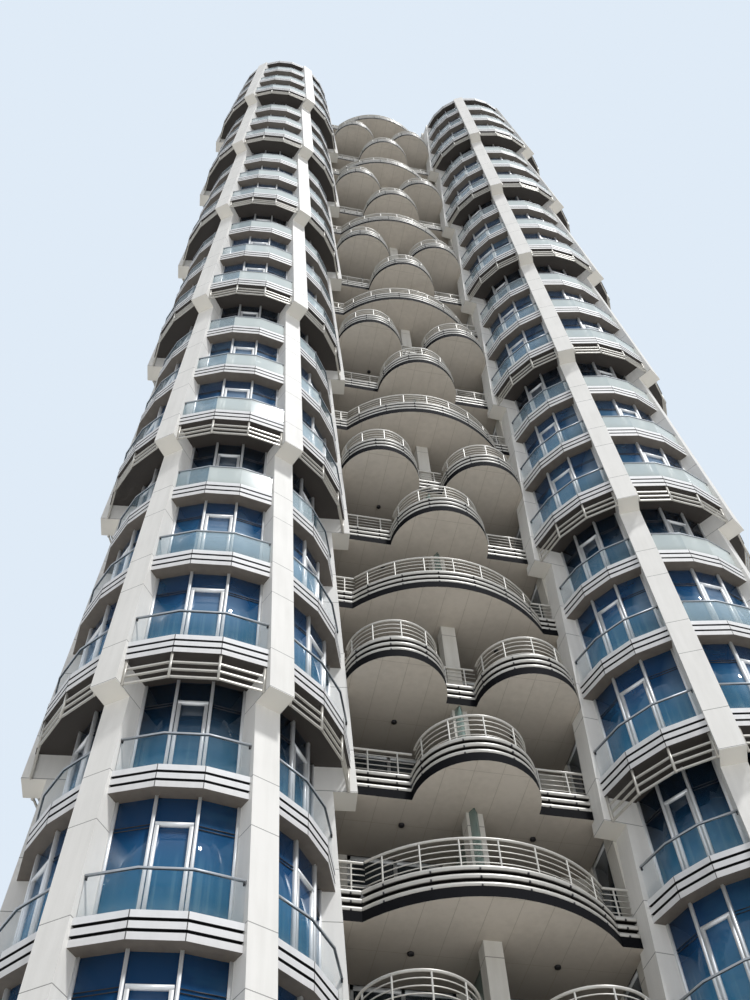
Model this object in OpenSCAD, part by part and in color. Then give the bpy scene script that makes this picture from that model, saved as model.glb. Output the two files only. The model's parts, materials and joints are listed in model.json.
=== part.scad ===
// Apartment tower as a 1:10 scale model: four six-sided drums stand at the corners of a square core,
// and the storeys between two drums carry round balconies in a pattern that repeats every three storeys.
// Millimetres at model scale. +Z is up, the origin is on the tower's axis at ground level, and the
// recess with the balconies that face the street looks along -Y.

/* [Storeys] */
// Height of one storey, floor to floor
storey_h = 320; // [280:5:360]
// Number of three-storey groups from the ground to the roof
groups = 8; // [2:1:8]

/* [Drums] */
// Distance between the centres of two neighbouring drums
drum_gap = 1226; // [1200:1:1260]
// Turn of a front drum's middle pilaster away from the street, towards the side
drum_turn = 35.5; // [34:0.5:38]
// Distance of a pilaster's face from its drum's centre, at the foot of a group
face_r = 346; // [338:1:352]
// How far the pilaster's face leans in over one group, before it steps out again
lean = 52; // [44:1:58]
// Width of a pilaster
pilaster_w = 57; // [46:1:68]
// Depth of a pilaster at the foot of a group, from its face to its inner side
fin_d = 100; // [92:1:112]

/* [Floor edges] */
// Height of a drum's slab edge above its storey line
edge_low = 68.5; // [50:0.5:76]
// How far the slab edge lies behind the pilaster's face
edge_set = 9; // [6:0.5:16]
// Height of each of the three pale bands of the slab edge
band_h = 14; // [11:0.5:17]
// Height of the dark groove between two bands
groove_h = 5.5; // [4:0.5:8]
// Depth of the grooves
groove_d = 6; // [3:0.5:8]

/* [Drum balustrades] */
// Height of the glass above the slab edge
guard_h = 82; // [60:1:100]
// Thickness of the balustrade glass
guard_t = 2; // [1.5:0.5:4]
// How far the glass lies behind the slab edge's face
guard_set = 6; // [4:0.5:9]

/* [Louvres] */
// Rails in each screen under a group's lowest slab edge
louvre_rails = 3; // [2:1:4]
// Height from one rail to the next
louvre_pitch = 21; // [16:1:24]
// Width and height of a rail
louvre_w = 4; // [3:0.5:6]

/* [Recesses] */
// Half of the width between the side walls of a recess
side_x = 310; // [300:1:316]
// Depth of a recess behind the line through the drum centres
back_y = 176; // [150:1:200]
// Thickness of the recess walls
wall_t = 20; // [14:1:28]
// Height of the balcony slabs' underside above the storey line
deck_low = 36; // [20:1:50]
// Thickness of the balcony slabs
deck_t = 24; // [18:1:32]
// How far the straight edge of a balcony stands out of the line through the drum centres
edge_out = 19; // [12:1:30]
// Radius of the middle balcony's round front
single_r = 143; // [125:1:150]
// Distance of each twin balcony's centre from the middle of the recess
twin_x = 166; // [156:1:168]
// Radius of the twin balconies' round fronts
twin_r = 128; // [114:1:130]
// Half of the chord of the wide balcony's arc
wide_half = 261; // [240:1:265]
// How far the wide balcony's arc bows out of its straight edge
wide_bow = 112; // [90:1:130]

/* [Balcony edges] */
// Diameter of the three tubes along a balcony's edge
tube_d = 13; // [9:0.5:15]
// Height from one tube to the next
tube_pitch = 19.5; // [16:0.5:26]
// Height of the handrail's centre above the balcony's underside
rail_z = 150; // [130:1:165]
// Diameter of the handrail
rail_d = 6; // [5:0.5:8]
// Diameter of the posts
post_d = 4; // [3:0.5:6]
// Largest distance between two posts along an edge
post_gap = 85; // [80:5:200]

/* [Recess walls] */
// Width of the piers at both ends of a recess's back wall
pier_w = 60; // [40:5:80]
// Width of the tall window in each side wall
side_window = 90; // [60:5:110]
// Half of the width of the column in the middle of a recess
column_x = 19; // [14:1:24]
// Depth of that column
column_d = 38; // [28:1:44]

/* [Hidden] */

group_h = 3 * storey_h;
storeys = 3 * groups;
half_gap = drum_gap / 2;
half_w = pilaster_w / 2;
notch_r = face_r - fin_d;
edge_h = 3 * band_h + 2 * groove_h;
roof_z = storeys * storey_h;
top_z = roof_z + edge_low + edge_h;
pilaster_angles = [-120, -60, 0, 60, 120];
bay_angles = [-90, -30, 30, 90];
overshoot = 5;

// Each drum's place: 1 where it mirrors the front left drum across the tower's middle, left to right
// and front to rear
front_left = [0, 0];
front_right = [1, 0];
rear_left = [0, 1];
rear_right = [1, 1];
// Direction in which each recess looks, from -Y towards +X
recess_angles = [0, 90, 180, 270];

concrete = "#e9e8e2";
glass_pale = "#bcd9d6";
steel = "#c9cbcc";
soffit = "#8f8a80";

function polar(r, a) = [r * sin(a), -r * cos(a)];
// Point at distance along and aside from the direction a
function along(a, far, aside) = [far * sin(a) + aside * cos(a), -far * cos(a) + aside * sin(a)];
// Storeys above the foot of the group that a slab edge belongs to
function in_group(k) = k == storeys ? 3 : k % 3;
// Distance of the pilaster's face from the drum's centre at a height above the group's foot
function face_at(z) = face_r - lean * z / group_h;
function edge_r(k) = face_at(in_group(k) * storey_h + edge_low) - edge_set;
// Half of the angle of a bay between the sides of its two pilasters, at radius r
function bay_half(r) = 30 - asin(half_w / r);
// The four corners of a bay's three flat faces
function bay_corners(r, b) = [for (t = [-1, -1 / 3, 1 / 3, 1]) polar(r, b + t * bay_half(r))];
function turned_back(list) = [for (i = [len(list) - 1 : -1 : 0]) list[i]];
function strip(r_out, r_in, b) = concat(bay_corners(r_out, b), turned_back(bay_corners(r_in, b)));

// Turn of the pilaster beside a recess away from the way the recess looks: first for the front and rear
// recesses, then for the two at the sides
flanks = [120 - drum_turn, 30 + drum_turn];
function flank(dir) = flanks[dir / 90 % 2];
// Where a line at dx from the drum's centre line meets the inner side of the pilaster beside a recess
function wall_start(dx, turn) = (half_w - dx * cos(turn)) / sin(turn);
// A point at x and y from the front left drum's centre, in the drum's own frame
function in_drum(x, y) = [x * cos(drum_turn) - y * sin(drum_turn), x * sin(drum_turn) + y * cos(drum_turn)];
neck_dx = half_gap - side_x - wall_t;
neck_y = back_y + wall_t;

// Outline of a drum's floor: bays out to radius r, notches for the pilasters and the neck to the core
function floor_outline(r) = concat(
    [in_drum(neck_y, neck_dx), in_drum(wall_start(neck_dx, flanks[1]), neck_dx)],
    [along(-120, notch_r, -half_w), along(-120, notch_r, half_w)],
    [for (b = bay_angles) each concat(
        bay_corners(r, b), [along(b + 30, notch_r, -half_w), along(b + 30, notch_r, half_w)])],
    [in_drum(neck_dx, wall_start(neck_dx, flanks[0])), in_drum(neck_dx, neck_y)]);

// A groove's cutter in one bay, run out past both of its ends
function groove_outline(r_in, r_out, b) =
    let (a = bay_corners(r_in, b), c = bay_corners(r_out, b),
         first = a[0] + (a[0] - a[1]) * 0.2, last = a[3] + (a[3] - a[2]) * 0.2)
    concat([first + (c[0] - a[0]), c[1], c[2], last + (c[3] - a[3])], [last, a[2], a[1], first]);

module at_drum(place) {
    mirror([place[0], 0, 0]) mirror([0, place[1], 0])
        translate([-half_gap, -half_gap, 0]) rotate([0, 0, -drum_turn]) children();
}
// Recess frame: x along the line through the two drum centres, y towards the core
module at_recess(dir) {
    rotate([0, 0, dir]) translate([0, -half_gap, 0]) children();
}
module all_recesses() {
    for (dir = recess_angles) at_recess(dir) children();
}
module raise(z) {
    translate([0, 0, z]) children();
}

// One pilaster: a fin that leans in over each group and steps out again at the next
module pilaster_fin() {
    profile = concat(
        [[notch_r, 0]],
        [for (g = [0 : groups - 1]) each [[face_r, g * group_h],
            g < groups - 1 ? [face_at(group_h), (g + 1) * group_h] : [face_at(top_z - g * group_h), top_z]]],
        [[notch_r, top_z]]);
    rotate([90, 0, 0]) translate([0, 0, -half_w]) linear_extrude(pilaster_w) polygon(profile);
}
module pilasters(place) {
    color(concrete) at_drum(place)
        for (a = pilaster_angles) rotate([0, 0, a - 90]) pilaster_fin();
}

// One storey's slab; its edge is banded by grooves on the drums beside the street recess
module drum_floor(k, banded) {
    r = edge_r(k);
    foot = k == 0 ? 0 : edge_low;
    raise(k * storey_h) difference() {
        raise(foot) linear_extrude(edge_low + edge_h - foot) polygon(floor_outline(r));
        if (banded)
            for (b = bay_angles, j = [0, 1])
                raise(edge_low + band_h + j * (band_h + groove_h)) linear_extrude(groove_h)
                    polygon(groove_outline(r - groove_d, r + overshoot, b));
    }
}
module floors(place, banded = false) {
    color(concrete) at_drum(place) for (k = [0 : storeys]) drum_floor(k, banded);
}

module balustrades(place) {
    color(glass_pale) at_drum(place)
        for (k = [0 : storeys - 1], b = bay_angles)
            raise(k * storey_h + edge_low + edge_h) linear_extrude(guard_h)
                polygon(strip(edge_r(k) - guard_set, edge_r(k) - guard_set - guard_t, b));
}

// Under each group's lowest slab edge, rails run from pilaster to pilaster
module louvres(place) {
    color(steel) at_drum(place)
        for (g = [1 : groups - 1], b = bay_angles, j = [0 : louvre_rails - 1]) {
            r = edge_r(3 * g) - louvre_w;
            raise(g * group_h + j * louvre_pitch) linear_extrude(louvre_w) polygon(strip(r, r - louvre_w, b));
        }
}

// Outline of the core's floor, inside the recess walls and between the drums' necks
core_x = side_x + wall_t;
core_y = half_gap - neck_y;
module core_floors() {
    outline = [for (dir = recess_angles) each [along(dir, core_y, -core_x), along(dir, core_y, core_x)]];
    color(concrete) for (k = [0 : storeys]) {
        foot = k == 0 ? 0 : edge_low;
        raise(k * storey_h + foot) linear_extrude(edge_low + edge_h - foot) polygon(outline);
    }
}

wall_h = roof_z + edge_low + edge_h;
// The back wall's solid parts: one pier at each end and one behind the column
module recess_piers() {
    color(concrete) all_recesses()
        for (x = [-side_x, -pier_w / 2, side_x - pier_w])
            translate([x, back_y, 0]) cube([pier_w, wall_t, wall_h]);
}

module side_wall(turn) {
    dx = half_gap - side_x;
    window_y = (back_y - side_window) / 2;
    linear_extrude(wall_h) {
        polygon([[side_x, wall_start(dx, turn)], [side_x + wall_t, wall_start(dx - wall_t, turn)],
            [side_x + wall_t, window_y], [side_x, window_y]]);
        translate([side_x, window_y + side_window])
            square([wall_t, back_y + wall_t - window_y - side_window]);
    }
}
// Each side wall stands in two parts, beside its tall window
module recess_side_walls() {
    color(concrete) for (dir = recess_angles) at_recess(dir) {
        side_wall(flank(dir));
        mirror([1, 0, 0]) side_wall(flank(dir));
    }
}

// The balcony pattern of a group: single, twin, wide, from its foot up
function kind(k) = ["single", "twin", "wide"][k % 3];
wide_r = (wide_half * wide_half + wide_bow * wide_bow) / (2 * wide_bow);
wide_y = wide_r - wide_bow - edge_out;
decks = storeys - 1;
// The lowest slab stands on the ground, so it is thicker
function deck_foot(k) = k == 0 ? 0 : deck_low;
function deck_h(k) = deck_low + deck_t - deck_foot(k);

// The round fronts of one storey's balcony, as prisms of height h, drawn in by inset
module round_front(type, h, inset) {
    if (type == "single")
        translate([0, -edge_out, 0]) cylinder(h = h, r = single_r - inset, $fn = 96);
    if (type == "twin")
        for (s = [-1, 1]) translate([s * twin_x, -edge_out, 0]) cylinder(h = h, r = twin_r - inset, $fn = 96);
    if (type == "wide")
        intersection() {
            translate([0, wide_y, 0]) cylinder(h = h, r = wide_r - inset, $fn = 144);
            translate([-wide_half, -edge_out - wide_bow - 1, 0]) cube([2 * wide_half, wide_bow + 2, h]);
        }
}
// Room for the two pilasters beside a recess, whose faces lean in above height z of their group
module pilaster_cutters(z, h, turn) {
    for (s = [0, 1]) mirror([s, 0, 0])
        translate([-half_gap, 0, -1]) rotate([0, 0, turn - 90])
            translate([notch_r, -half_w, 0]) cube([face_at(z) - notch_r, pilaster_w, h + 2]);
}
module deck(k, turn) {
    h = deck_h(k);
    difference() {
        union() {
            translate([-side_x, -edge_out, 0]) cube([2 * side_x, edge_out + back_y, h]);
            round_front(kind(k), h, 0);
        }
        pilaster_cutters(in_group(k) * storey_h + deck_foot(k), h, turn);
    }
}
module decks_of(phase) {
    color(soffit) for (dir = recess_angles) at_recess(dir)
        for (k = [0 : decks]) if (k % 3 == phase) raise(k * storey_h + deck_foot(k)) deck(k, flank(dir));
}
module single_balconies() decks_of(0);
module twin_balconies() decks_of(1);
module wide_balconies() decks_of(2);

module recess_columns() {
    color(concrete) all_recesses()
        for (k = [0 : decks - 1]) translate([-column_x, 0, k * storey_h + deck_low + deck_t])
            cube([2 * column_x, column_d, storey_h - deck_t]);
}

// Gap between the butted ends of two bars at the wide balcony's corners
joint_gap = 0.2;
// Edge line of balcony k, drawn in by inset, for a bar of diameter d whose underside is z above the
// storey line. Where a straight run meets the pilaster's face:
function run_end(k, inset, z) =
    half_gap - (face_at(in_group(k) * storey_h + z) + (inset - edge_out) * cos(flanks[0])) / sin(flanks[0]);
// Angle at which the bar's outer side, at radius r, meets that face on a twin balcony's arc
function twin_end(k, r, z) =
    let (reach = (half_gap - twin_x) * sin(flanks[0]) + edge_out * cos(flanks[0])
             - face_at(in_group(k) * storey_h + z))
    reach < r ? 360 + asin(reach / r) - flanks[0] : 360;
// The arcs as [centre x, centre y, radius, first angle, last angle]
function arcs(k, inset, d, z) =
    kind(k) == "single" ? [[0, -edge_out, single_r - inset, 180, 360]] :
    kind(k) == "twin" ?
        let (r = twin_r - inset, last = twin_end(k, r + d / 2, z))
        [[-twin_x, -edge_out, r, 540 - last, 360], [twin_x, -edge_out, r, 180, last]] :
    let (half = asin(wide_half / wide_r)) [[0, wide_y, wide_r - inset, 270 - half, 270 + half]];
// The straight runs as [from x, to x]: from beside an arc out to the pilaster, or between two arcs
function outer_runs(from, to) = from < to ? [[-to, -from], [from, to]] : [];
function runs(k, inset, d, z) =
    let (to = run_end(k, inset, z))
    kind(k) == "single" ? outer_runs(single_r - inset + d / 2, to) :
    kind(k) == "wide" ? outer_runs((wide_r - inset + d / 2) * wide_half / wide_r + joint_gap, to) :
    let (from = twin_x - twin_r + inset - d / 2)
    concat([[-from, from]], outer_runs(twin_x + twin_r - inset + d / 2, to));

// A round bar along the whole edge
module edge_bar(k, inset, d, z) {
    raise(k * storey_h + z + d / 2) {
        for (a = arcs(k, inset, d, z)) translate([a[0], a[1], 0])
            rotate([0, 0, a[3]]) rotate_extrude(angle = a[4] - a[3], $fn = 96)
                translate([a[2], 0]) circle(d = d, $fn = 20);
        for (r = runs(k, inset, d, z))
            translate([r[0], -edge_out + inset, 0]) rotate([0, 90, 0])
                cylinder(h = r[1] - r[0], d = d, $fn = 20);
    }
}
module balcony_tubes() {
    color(steel) at_recess(0)
        for (k = [1 : decks], j = [0 : 2])
            edge_bar(k, tube_d / 2, tube_d, deck_low + deck_t + j * tube_pitch);
}
post_inset = tube_d + post_d / 2;
rail_low = deck_low + rail_z - rail_d / 2;
module balcony_handrails() {
    color(steel) at_recess(0) for (k = [1 : decks]) edge_bar(k, post_inset, rail_d, rail_low);
}
module post(x, y) {
    translate([x, y, deck_low + deck_t]) cylinder(h = rail_low - deck_low - deck_t, d = post_d, $fn = 16);
}
module posts(k) {
    for (a = arcs(k, post_inset, rail_d, rail_low)) {
        n = ceil(a[2] * (a[4] - a[3]) * PI / 180 / post_gap);
        for (i = [0 : n - 1]) {
            t = a[3] + (i + 0.5) * (a[4] - a[3]) / n;
            post(a[0] + a[2] * cos(t), a[1] + a[2] * sin(t));
        }
    }
    for (r = runs(k, post_inset, rail_d, deck_low + deck_t)) {
        n = ceil((r[1] - r[0]) / post_gap);
        for (i = [0 : n - 1]) post(r[0] + (i + 0.5) * (r[1] - r[0]) / n, -edge_out + post_inset);
    }
}
module balcony_posts() {
    color(steel) at_recess(0) for (k = [1 : decks]) raise(k * storey_h) posts(k);
}

pilasters(front_left);  // front_left_pilasters
floors(front_left, banded = true);  // front_left_floors
balustrades(front_left);  // front_left_balustrades
louvres(front_left);  // front_left_louvres
pilasters(front_right);  // front_right_pilasters
floors(front_right, banded = true);  // front_right_floors
balustrades(front_right);  // front_right_balustrades
louvres(front_right);  // front_right_louvres
pilasters(rear_left);  // rear_left_pilasters
floors(rear_left);  // rear_left_floors
balustrades(rear_left);  // rear_left_balustrades
pilasters(rear_right);  // rear_right_pilasters
floors(rear_right);  // rear_right_floors
balustrades(rear_right);  // rear_right_balustrades
core_floors();
recess_piers();
recess_side_walls();
recess_columns();
single_balconies();
twin_balconies();
wide_balconies();
balcony_tubes();
balcony_handrails();
balcony_posts();
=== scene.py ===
"""Looks of the apartment tower: windows, blinds, rails, bands and the finish of every surface."""
import json
import bpy
import numpy as np
from math import radians
from mathutils import Matrix


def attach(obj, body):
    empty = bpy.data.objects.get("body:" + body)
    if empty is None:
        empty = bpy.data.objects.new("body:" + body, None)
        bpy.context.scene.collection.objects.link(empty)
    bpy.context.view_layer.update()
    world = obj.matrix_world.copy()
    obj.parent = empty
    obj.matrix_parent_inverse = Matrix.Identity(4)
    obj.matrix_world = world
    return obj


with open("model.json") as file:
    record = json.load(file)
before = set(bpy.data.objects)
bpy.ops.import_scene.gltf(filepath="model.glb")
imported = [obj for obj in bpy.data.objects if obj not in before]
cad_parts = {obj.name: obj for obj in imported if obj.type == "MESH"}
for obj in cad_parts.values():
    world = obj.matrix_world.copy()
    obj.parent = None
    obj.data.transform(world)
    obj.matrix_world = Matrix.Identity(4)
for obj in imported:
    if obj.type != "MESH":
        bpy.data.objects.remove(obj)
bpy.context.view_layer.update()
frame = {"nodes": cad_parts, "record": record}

# Sizes of the solids, in metres and degrees

# Storeys, in groups of three that lean in towards their head and step out again
STOREY = 0.32
GROUPS = 8
STOREYS = 3 * GROUPS
GROUP = 3 * STOREY

# Drums: half the distance between their centres, and how far the street ones are turned
HALF_GAP = 0.613
DRUM_TURN = 35.5

# Pilasters: their face's distance from the drum's centre at a group's foot, its lean, half its width
FACE_R = 0.346
LEAN = 0.052
HALF_W = 0.0285

# Slab edges of the drums: underside above the storey line, bands, grooves, setback from the face
EDGE_LOW = 0.0685
BAND = 0.014
GROOVE = 0.0055
EDGE_H = 3 * BAND + 2 * GROOVE
EDGE_SET = 0.009

# Glass balustrades: height, and setback from the slab edge
GUARD_H = 0.082
GUARD_SET = 0.006

# Recesses, from the line through two drums' centres: half width, back wall, straight balcony edges
SIDE_X = 0.310
BACK_Y = 0.176
EDGE_OUT = 0.019

# Balcony slabs: underside and top above the storey line, and the three forms of their edge
DECK_LOW = 0.036
DECK_TOP = 0.060
SINGLE_R = 0.143
TWIN_X = 0.166
TWIN_R = 0.128
WIDE_HALF = 0.261
WIDE_BOW = 0.112

# Balcony rails: tubes, handrail and posts
TUBE_D = 0.013
TUBE_PITCH = 0.0195
RAIL_Z = 0.186
RAIL_D = 0.006
POST_D = 0.004
POST_GAP = 0.085

# Recess walls: piers, side windows and the column in the middle
PIER_W = 0.060
SIDE_WINDOW = 0.090
COLUMN_D = 0.038

DRUM_PLACES = {"front_left": (-1, -1), "front_right": (1, -1), "rear_right": (1, 1), "rear_left": (-1, 1)}
DRUM_TURNS = {"front_left": -DRUM_TURN, "front_right": DRUM_TURN,
              "rear_right": 180 - DRUM_TURN, "rear_left": DRUM_TURN - 180}
UNSEEN_DRUMS = ["rear_right", "rear_left"]
BAY_TURNS = [-90.0, -30.0, 30.0, 90.0]
RECESS_TURNS = [0.0, 90.0, 180.0, 270.0]
STREET = [0.0]
REAR = [180.0]
SIDES = [90.0, 270.0]

# Angle between the ways that a recess and the pilaster beside it look out: street and rear, then the sides
FLANK = radians(120 - DRUM_TURN)
SIDE_FLANK = radians(30 + DRUM_TURN)


# Shapes: a template is (points, quads); quads are rows of four point numbers


def box(lo, hi):
    """A box: every corner takes its x, y and z from the low or the high end."""
    pick = np.array([[i & 1, i >> 1 & 1, i >> 2 & 1] for i in range(8)])
    points = np.where(pick, np.array(hi, float), np.array(lo, float))
    quads = np.array([[0, 2, 3, 1], [4, 5, 7, 6], [0, 1, 5, 4], [2, 6, 7, 3], [0, 4, 6, 2], [1, 3, 7, 5]])
    return points, quads


def together(templates):
    """Several templates as one: the quads of each count on from the points before it."""
    points, quads, count = [], [], 0
    for part_points, part_quads in templates:
        points.append(part_points)
        quads.append(part_quads + count)
        count += len(part_points)
    return np.concatenate(points), np.concatenate(quads)


def turned(template, degrees, shift=(0.0, 0.0, 0.0)):
    """A template turned about Z and then moved: x' = x cos a - y sin a, y' = x sin a + y cos a."""
    points, quads = template
    a = radians(degrees)
    x, y, z = points.T
    out = np.stack([x * np.cos(a) - y * np.sin(a), x * np.sin(a) + y * np.cos(a), z], axis=1)
    return out + np.array(shift), quads


def repeated(template, turns, shifts):
    """Copies of a template, one for each turn about Z (degrees) and shift, all worked out as one array."""
    points, quads = template
    a = np.radians(np.asarray(turns, float))[:, None]
    shifts = np.asarray(shifts, float)
    x, y, z = points.T[:, None, :]
    out = np.stack([x * np.cos(a) - y * np.sin(a) + shifts[:, :1],
                    x * np.sin(a) + y * np.cos(a) + shifts[:, 1:2],
                    z + shifts[:, 2:3]], axis=2)
    step = np.arange(len(a))[:, None, None] * len(points)
    return out.reshape(-1, 3), (quads[None] + step).reshape(-1, 4)


UPRIGHT = 0.9
SHARPEST = 0.3


def bar(path, across, up=None, sides=4, spin=0.5):
    """A profile of `sides` corners carried along a path of points, its width `across` and height `up`.

    Corner j lies at the angle (j + spin) * 360 / sides, on an ellipse whose flats are the given sizes apart.
    At each point the profile stands square to the mean of the two directions that meet there, and is
    widened by 1 / cos of half the angle between them, with the cosine taken as SHARPEST at least. Its height
    lies along z, or along y where the z of the mean direction passes UPRIGHT.
    """
    path = np.asarray(path, float)
    up = across if up is None else up
    step = np.diff(path, axis=0)
    step /= np.linalg.norm(step, axis=1)[:, None]
    ahead = np.vstack([step, step[-1:]])
    behind = np.vstack([step[:1], step])
    mean = ahead + behind
    mean /= np.linalg.norm(mean, axis=1)[:, None]
    miter = 1 / np.maximum(np.einsum("ij,ij->i", mean, ahead), SHARPEST)
    level = np.abs(mean[:, 2]) < UPRIGHT
    world_up = np.where(level[:, None], [[0.0, 0.0, 1.0]], [[0.0, 1.0, 0.0]])
    side = np.cross(mean, world_up)
    side /= np.linalg.norm(side, axis=1)[:, None]
    high = np.cross(side, mean)
    t = (np.arange(sides) + spin) * 2 * np.pi / sides
    flat = np.cos(np.pi / sides)
    a = np.cos(t) * across / 2 / flat
    b = np.sin(t) * up / 2 / flat
    points = (path[:, None] + side[:, None] * (a[None, :, None] * miter[:, None, None])
              + high[:, None] * b[None, :, None]).reshape(-1, 3)
    i, j = np.meshgrid(np.arange(len(path) - 1), np.arange(sides), indexing="ij")
    k = (j + 1) % sides
    walls = np.stack([i * sides + j, (i + 1) * sides + j, (i + 1) * sides + k, i * sides + k], axis=2)
    fans = np.array([[0, n, n + 1, n + 2] for n in range(1, sides - 1, 2)])
    last = (len(path) - 1) * sides
    return points, np.vstack([walls.reshape(-1, 4), fans, last + fans[:, ::-1]])


def post(x, y, z0, z1, d, sides=6):
    """A post of diameter d from z0 up to z1."""
    return bar([[x, y, z0], [x, y, z1]], d, sides=sides)


def piece(name, slot, material, *templates):
    """One mesh object of the given templates, riding on the building."""
    points, quads = together(templates)
    mesh = bpy.data.meshes.new(name)
    mesh.vertices.add(len(points))
    mesh.vertices.foreach_set("co", points.ravel())
    mesh.loops.add(quads.size)
    mesh.loops.foreach_set("vertex_index", quads.ravel())
    mesh.polygons.add(len(quads))
    mesh.polygons.foreach_set("loop_start", np.arange(len(quads)) * 4)
    mesh.update(calc_edges=True)
    mesh.materials.append(material)
    thing = bpy.data.objects.new(name, mesh)
    bpy.context.collection.objects.link(thing)
    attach(thing, "root")
    return thing


# The drums' plan


def polar(r, degrees):
    """A point at distance r from a drum's centre, turned from its outward direction."""
    a = np.radians(degrees)
    return np.stack([r * np.sin(a), -r * np.cos(a)], axis=-1)


def in_group(k):
    """Storeys above the foot of the group that slab edge k belongs to."""
    return 3 if k == STOREYS else k % 3


def face_at(z):
    """Distance of the pilaster's face from the drum's centre at height z above the group's foot."""
    return FACE_R - LEAN * z / GROUP


def edge_r(k):
    """Distance of slab edge k from the drum's centre, at its pilasters."""
    return face_at(in_group(k) * STOREY + EDGE_LOW) - EDGE_SET


def bay_corners(r):
    """The four corners of the three flats of the bay that looks outward, at radius r."""
    half = 30 - np.degrees(np.arcsin(HALF_W / r))
    return polar(r, half * np.array([-1, -1 / 3, 1 / 3, 1]))


def bay_ring(r_out, r_in, z0, z1):
    """Three flats of a bay as one solid between two radii and two heights.

    Corner c has point 2 c at its back and 2 c + 1 in front, and the upper points count on from 8.
    """
    out, back = bay_corners(r_out), bay_corners(r_in)
    corners = np.stack([back, out], axis=1)
    points = np.concatenate([
        np.concatenate([corners, np.full((4, 2, 1), z)], axis=2).reshape(-1, 3) for z in (z0, z1)])
    i = np.arange(3) * 2
    quads = np.concatenate([
        np.stack([i + 1, i + 3, i + 11, i + 9], axis=1),
        np.stack([i + 2, i, i + 8, i + 10], axis=1),
        np.stack([i, i + 2, i + 3, i + 1], axis=1),
        np.stack([i + 8, i + 9, i + 11, i + 10], axis=1),
        [[0, 1, 9, 8], [7, 6, 14, 15]]])
    return points, quads


def flat_frames(r):
    """For each of a bay's three flats at radius r: its middle, its direction along the wall and its width."""
    corners = bay_corners(r)
    a, b = corners[:-1], corners[1:]
    width = np.linalg.norm(b - a, axis=1)
    return (a + b) / 2, (b - a) / width[:, None], width


def on_flat(template, middle, along):
    """A template drawn with x along a flat and -y outward, set on that flat."""
    points, quads = template
    outward = np.array([along[1], -along[0]])
    plan = middle + points[:, :1] * along - points[:, 1:2] * outward
    return np.concatenate([plan, points[:, 2:]], axis=1), quads


def drum_centre(drum):
    """Where a drum's axis stands."""
    return np.array(DRUM_PLACES[drum]) * HALF_GAP


def on_drums(template, storeys, drums=DRUM_TURNS):
    """A bay's template in every bay of the given drums, on each of the given storeys."""
    turns, shifts = [], []
    for drum in drums:
        x, y = drum_centre(drum)
        for bay in BAY_TURNS:
            for k in storeys:
                turns.append(DRUM_TURNS[drum] + bay)
                shifts.append([x, y, k * STOREY])
    return repeated(template, turns, shifts)


def in_recesses(template, storeys, recesses=RECESS_TURNS):
    """A template in the recess frame (x along the front, y inward) in each recess, on each storey."""
    turns, shifts = [], []
    for turn in recesses:
        x, y = polar(HALF_GAP, turn)
        for k in storeys:
            turns.append(turn)
            shifts.append([x, y, k * STOREY])
    return repeated(template, turns, shifts)


# Shader maths


class Field:
    """A value or colour that varies over a surface; arithmetic on it adds Math nodes."""

    def __init__(self, nodes, socket):
        self.nodes = nodes
        self.socket = socket

    def math(self, operation, *values):
        """One Math node on exactly the given values."""
        inputs = dict(enumerate(values))
        return self.nodes.node("ShaderNodeMath", {"operation": operation}, inputs, out="Value")

    def __add__(self, other):
        return self.math("ADD", self, other)

    def __radd__(self, other):
        return self.math("ADD", other, self)

    def __sub__(self, other):
        return self.math("SUBTRACT", self, other)

    def __rsub__(self, other):
        return self.math("SUBTRACT", other, self)

    def __mul__(self, other):
        return self.math("MULTIPLY", self, other)

    def __rmul__(self, other):
        return self.math("MULTIPLY", other, self)

    def __truediv__(self, other):
        return self.math("DIVIDE", self, other)

    def __gt__(self, other):
        return self.math("GREATER_THAN", self, other)

    def __lt__(self, other):
        return self.math("LESS_THAN", self, other)

    def larger(self, other):
        """The larger of two values at each place."""
        return self.math("MAXIMUM", self, other)

    def fract(self):
        """What is left over the whole number below."""
        return self.math("FRACT", self)

    def size(self):
        """The value without its sign."""
        return self.math("ABSOLUTE", self)


def linear(colour):
    """An sRGB colour written as #rrggbb, as linear red, green, blue and alpha."""
    c = np.array([int(colour[i:i + 2], 16) for i in (1, 3, 5)]) / 255
    c = np.where(c <= 0.04045, c / 12.92, ((c + 0.055) / 1.055) ** 2.4)
    return (*c, 1.0)


class Nodes:
    """Adds nodes to one node tree."""

    def __init__(self, tree):
        self.tree = tree

    def link(self, value, socket):
        """Joins a field to a socket, or sets the socket to a plain value."""
        if isinstance(value, Field):
            self.tree.links.new(value.socket, socket)
        else:
            socket.default_value = value

    def node(self, kind, settings, values, out=None):
        """Adds a node: first its settings, then the values or links of its sockets; gives one output."""
        node = self.tree.nodes.new(kind)
        for key, value in settings.items():
            setattr(node, key, value)
        for key, value in values.items():
            if isinstance(key, int):
                socket = node.inputs[key]
            else:
                socket = next(s for s in node.inputs if s.enabled and s.name == key)
            self.link(value, socket)
        live = [s for s in node.outputs if s.enabled]
        return Field(self, live[0] if out is None else next(s for s in live if s.name == out))

    def mix(self, mask, a, b):
        """Colour a where the mask is 0 and colour b where it is 1; text stands for an sRGB colour."""
        a, b = [linear(colour) if isinstance(colour, str) else colour for colour in (a, b)]
        return self.node("ShaderNodeMix", {"data_type": "RGBA"}, {"Factor": mask, "A": a, "B": b})


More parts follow.
